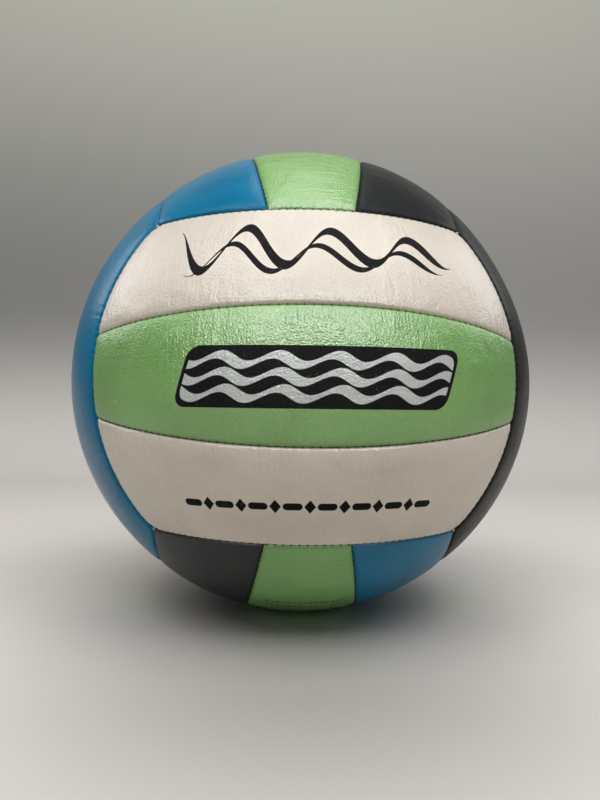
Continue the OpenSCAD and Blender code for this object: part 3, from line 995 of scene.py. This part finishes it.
# A kind of leather: its colour and its shade's, the weights of its grain and of its creases, where 1 is
# full, its index of refraction and its roughness
Leather = namedtuple("Leather", "base shade pebbled creased ior rough")
WHITE = Leather(colour(229, 219, 204), colour(202, 192, 176), 0.9, 0.75, 1.58, 0.26)
GREEN = Leather(colour(126, 180, 91), colour(84, 140, 57), 1.15, 0.9, 1.85, 0.26)
BLUE = Leather(colour(0, 119, 160), colour(0, 92, 128), 0.35, 0.4, 1.2, 0.24)
CHARCOAL = Leather(colour(40, 43, 44), colour(24, 26, 27), 0.5, 0.4, 1.13, 0.34)
# For the underside: the green painted brighter for light its shade lacks; blue and charcoal differ only
# in grain and gloss
UNDER_GREEN_BRIGHTENED = Leather(colour(140, 190, 118), colour(95, 149, 74), 1.0, 1.0, 1.5, 0.32)
UNDER_BLUE = BLUE._replace(pebbled=0.2, creased=0.1, ior=1.45, rough=0.34)
UNDER_CHARCOAL = CHARCOAL._replace(pebbled=0.4, creased=0.2, ior=1.45, rough=0.36)
# By cover, and for the strips with a leather of their own
MATERIALS = {
    "white": leather("white", WHITE),
    "green": leather("green", GREEN),
    "blue": leather("blue", BLUE),
    "charcoal": leather("charcoal", CHARCOAL),
    "front_top": leather("white_wave", WHITE, wave_print),
    "front_middle": leather("green_badge", GREEN, badge_print),
    "front_bottom": leather("white_dashes", WHITE, dash_print),
    # The panel the ball rests on, in the green painted brighter for the underside's shade
    "bottom_middle": leather("green_brightened_ticks", UNDER_GREEN_BRIGHTENED, tick_print),
    "bottom_left": leather("charcoal_under", UNDER_CHARCOAL),
    "bottom_right": leather("blue_under", UNDER_BLUE),
}
# A kind of rubber: its colour and its dust's, its texture's size in millimetres, its relief and roughness
Rubber = namedtuple("Rubber", "base dust size relief rough")
RUBBERS = {
    "bladder": Rubber(colour(34, 34, 36), colour(70, 70, 72), 0.9, 0.06 * MM, 0.6),
    "valve_patch": Rubber(colour(24, 24, 25), colour(52, 52, 54), 0.6, 0.08 * MM, 0.6),
    "valve_housing": Rubber(colour(30, 30, 31), colour(66, 65, 64), 0.35, 0.03 * MM, 0.6),
    "valve_insert": Rubber(colour(196, 190, 176), colour(158, 150, 134), 0.3, 0.03 * MM, 0.45),
}


def dress(thing, material, body="ball"):
    """Gives an object its material and the body it rides on."""
    thing.data.materials.clear()
    thing.data.materials.append(material)
    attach(thing, body)


def make_cover():
    """The skin and the pad of each of the eighteen strips."""
    foam = foam_material()
    for face_name, face in FACES.items():
        for strip_name, strip in zip(STRIPS[face_name], STRIP_KINDS):
            name = f"{face_name}_{strip_name}"
            tone = next((tone for tone, names in COVERS.items() if name in names), "green")
            skin = make_skin(name + "_skin", face, strip)
            if name == "back_middle":
                bore_valve_hole(skin)
            label_skin(skin, face, strip)
            dress(skin, MATERIALS.get(name, MATERIALS[tone]))
            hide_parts(name + "_panel")
            pad = make_pad(name + "_pad", face, strip)
            dress(pad, foam)
            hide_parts(name + "_foam")


def make_thread():
    """The stitches of all faces, and the tied-off ends at the corners."""
    dark = thread_material("thread_dark", colour(38, 32, 28), colour(12, 10, 9))
    pale = thread_material("thread_pale", colour(214, 206, 190), colour(150, 140, 124))
    for number, (face_name, face) in enumerate(FACES.items()):
        draws = np.random.default_rng(number)
        stitches = make_stitches(face_name + "_stitches", face, draws)
        dress(stitches, dark)
        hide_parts(face_name + "_thread")
        if face_name in ("front", "back"):
            dress(make_knots(face_name + "_corner_knots", face, draws), pale)


def dress_cad_nodes():
    """The valve and bladder keep their exact shapes and get materials."""
    for name, kind in RUBBERS.items():
        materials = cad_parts[name].data.materials
        materials.clear()
        materials.append(rubber_material(name.split("_")[-1] + "_rubber", kind))


# The camera, placed as the ball was photographed
CAMERA_AT = (-0.01485, -0.35279, -0.00897)
CAMERA_FORWARD = (0.04178, 0.99913, 0.00188)
CAMERA_UP = (-0.01284, -0.00135, 0.99992)
FOCAL_PIXELS, LONG_SIDE_PIXELS = 718.54, 800
SENSOR_WIDTH = 36.0
CLIP_NEAR, CLIP_FAR = 0.01, 10.0


def make_camera():
    data = bpy.data.cameras.new("camera")
    data.sensor_width = SENSOR_WIDTH
    data.lens = FOCAL_PIXELS / LONG_SIDE_PIXELS * SENSOR_WIDTH
    data.clip_start, data.clip_end = CLIP_NEAR, CLIP_FAR
    camera = add_object("camera", data)
    back = -Vector(CAMERA_FORWARD).normalized()
    side = Vector(CAMERA_UP).cross(back).normalized()
    turn = Matrix((side, back.cross(side), back)).transposed()
    camera.matrix_world = Matrix.Translation(CAMERA_AT) @ turn.to_4x4()
    bpy.context.scene.camera = camera


# The floor sweeps up behind the ball into a wall
WALL_AT = 0.75
SWEEP_RADIUS, SWEEP_POINTS = 0.26, 24
FLOOR_FRONT, WALL_TOP = -3.0, 1.9
STAGE_HALF_WIDTH, STAGE_COLUMNS = 3.0, 9

# The paper's colours, with painted shade low on its wall, darker on the left, and painted light high up,
# and the flat one that it fades to far off
FLOOR_TINT, HIGH_LIT_TINT = colour(231, 226, 220), colour(195, 196, 184)
LOW_LEFT_SHADED_TINT, LOW_RIGHT_SHADED_TINT = colour(139, 139, 135), colour(156, 155, 152)
FIBRE_TINT = colour(120, 118, 114)
BACKDROP = colour(150, 149, 146)
# Where they blend: up from the floor, up the wall, from left to right, and far off
WALL_BLEND, HIGH_BLEND = (4.0, 240.0), (275.0, 785.0)
SIDE_BLEND = (-415.0, 415.0)
FAR_BLEND = (1150.0, 2100.0)

# A round patch painted on the floor where it is seen: its colour, its middle's y, and the radii of its
# fading
Patch = namedtuple("Patch", "tint y near far")
# A painted shadow before the ball, and painted light close under it where its shadow is darkest
PAINTED_SHADOW_PATCH = Patch(colour(159, 157, 152), -100.0, 0.0, 170.0)
PAINTED_LIGHT_PATCH = Patch(colour(246, 245, 240), 0.0, 22.0, 54.0)

# The share of its light that the paper keeps back from the ball, as a larger and darker room would
BOUNCE_LOST = 0.36


def sweep_points():
    """The stage's points, across its width and along its profile."""
    bend = [
        (WALL_AT - SWEEP_RADIUS * (1 - math.sin(a)), SWEEP_RADIUS * (1 - math.cos(a)))
        for a in np.linspace(0, math.pi / 2, SWEEP_POINTS)
    ]
    profile = [(FLOOR_FRONT, 0.0), *bend, (WALL_AT, WALL_TOP)]
    widths = np.linspace(-STAGE_HALF_WIDTH, STAGE_HALF_WIDTH, STAGE_COLUMNS)
    return np.array([[(x, y, FLOOR_HEIGHT + z) for y, z in profile] for x in widths])


def with_patch(g, seen, floor, patch):
    """The floor's colour with a patch painted on it where it is seen, as the painted shadow and painted
    light are.
    """
    place = g.position()
    away = g.length(g.vector(g.dot(place, (1, 0, 0)), g.sub(g.dot(place, (0, 1, 0)), patch.y)))
    return g.mix(g.mul(seen, g.fade(away, patch.near, patch.far)), floor, patch.tint)


def paper_material():
    """Paper with painted shade and light on its wall and painted shadow and light on its floor, that
    fades to one flat colour far off.
    """
    g = Nodes("paper")
    place = g.position()
    height = g.sub(g.dot(place, (0, 0, 1)), FLOOR_HEIGHT / MM)
    seen = seen_directly(g.tree)
    across = g.smooth(g.dot(place, (1, 0, 0)), *SIDE_BLEND)
    # Painted shade low on the wall, darker on the left, and painted light high up
    low_wall = g.mix(across, LOW_LEFT_SHADED_TINT, LOW_RIGHT_SHADED_TINT)
    wall = g.mix(g.smooth(height, *HIGH_BLEND), low_wall, HIGH_LIT_TINT)
    # Painted shadow before the ball, and painted light close under it
    floor = with_patch(g, seen, FLOOR_TINT, PAINTED_SHADOW_PATCH)
    floor = with_patch(g, seen, floor, PAINTED_LIGHT_PATCH)
    tint = g.mix(g.smooth(height, *WALL_BLEND), floor, wall)
    fibres = g.noise(place, 0.6, detail=3.0)
    tint = g.mix(g.mul(fibres, 0.05), tint, FIBRE_TINT)
    tint = g.mix(seen, g.mix(BOUNCE_LOST, tint, colour(0, 0, 0)), tint)
    g.set(Base_Color=tint, Roughness=0.8, Normal=g.bump(fibres, 0.02 * MM))
    flat = g.node("Emission", BACKDROP)
    far = g.mul(g.smooth(g.length(place), *FAR_BLEND), seen)
    surface = mix_shaders(g.tree, far, g.shader.outputs[0], flat.outputs[0])
    g.tree.links.new(surface, g.tree.nodes["Material Output"].inputs["Surface"])
    return g.material


def make_stage():
    """The paper sweep under and behind the ball."""
    build = MeshBuilder()
    build.grid(sweep_points())
    sweep = build.finish("paper_sweep")
    sweep.data.materials.append(paper_material())
    sweep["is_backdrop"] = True


# Soft rectangular lamps aimed at the ball. One that doesn't fill is seen in the leather's gloss only.
Lamp = namedtuple("Lamp", "at size watts fills")
LAMPS = {
    "front_lamp": Lamp((0.04, -0.52, 1.09), (1.4, 0.9), 14.4, True),
    "left_lamp": Lamp((-0.75, -0.42, 1.05), (0.9, 0.7), 3.9, True),
    "right_lamp": Lamp((0.75, -0.42, 1.05), (0.9, 0.7), 3.6, True),
    "front_glint": Lamp((0.04, -1.07, 0.52), (2.2, 0.26), 19.5, False),
    "top_glint": Lamp((0.04, 0.22, 1.1), (0.5, 0.4), 1.5, False),
    "left_glint": Lamp((-1.0, 0.35, 0.6), (0.7, 0.5), 3.2, False),
    "right_glint": Lamp((1.0, 0.35, 0.6), (0.7, 0.5), 2.4, False),
}
LAMP_TINT = (0.98, 0.97, 0.98)
ROOM_TINT, ROOM_STRENGTH = (0.92, 0.97, 1.0, 1.0), 0.02


def make_lamps():
    """All the lamps, each turned towards the ball's centre."""
    for name, kind in LAMPS.items():
        data = bpy.data.lights.new(name, "AREA")
        data.shape, data.size, data.size_y = "RECTANGLE", *kind.size
        data.energy, data.color = kind.watts, LAMP_TINT
        lamp = add_object(name, data)
        lamp.location = kind.at
        lamp.rotation_mode = "QUATERNION"
        lamp.rotation_quaternion = (-Vector(kind.at)).to_track_quat("-Z", "Y")
        lamp.visible_diffuse = kind.fills


def make_room():
    """A faint light from all round, and a flat backdrop past the stage's edges."""
    world = bpy.data.worlds.new("room")
    bpy.context.scene.world = world
    world.use_nodes = True
    tree = world.node_tree
    fill = tree.nodes["Background"]
    fill.inputs["Color"].default_value = ROOM_TINT
    fill.inputs["Strength"].default_value = ROOM_STRENGTH
    backdrop = tree.nodes.new("ShaderNodeBackground")
    backdrop.inputs["Color"].default_value = BACKDROP
    choice = mix_shaders(tree, seen_directly(tree), fill.outputs[0], backdrop.outputs[0])
    tree.links.new(choice, tree.nodes["World Output"].inputs["Surface"])


bpy.context.scene.view_settings.view_transform = "Standard"
make_camera()
make_stage()
make_lamps()
make_room()
make_cover()
make_thread()
dress_cad_nodes()

boxes = {"cad": cad_box, "visual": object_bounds()}
{name: [list(corner) for corner in box] for name, box in boxes.items()}
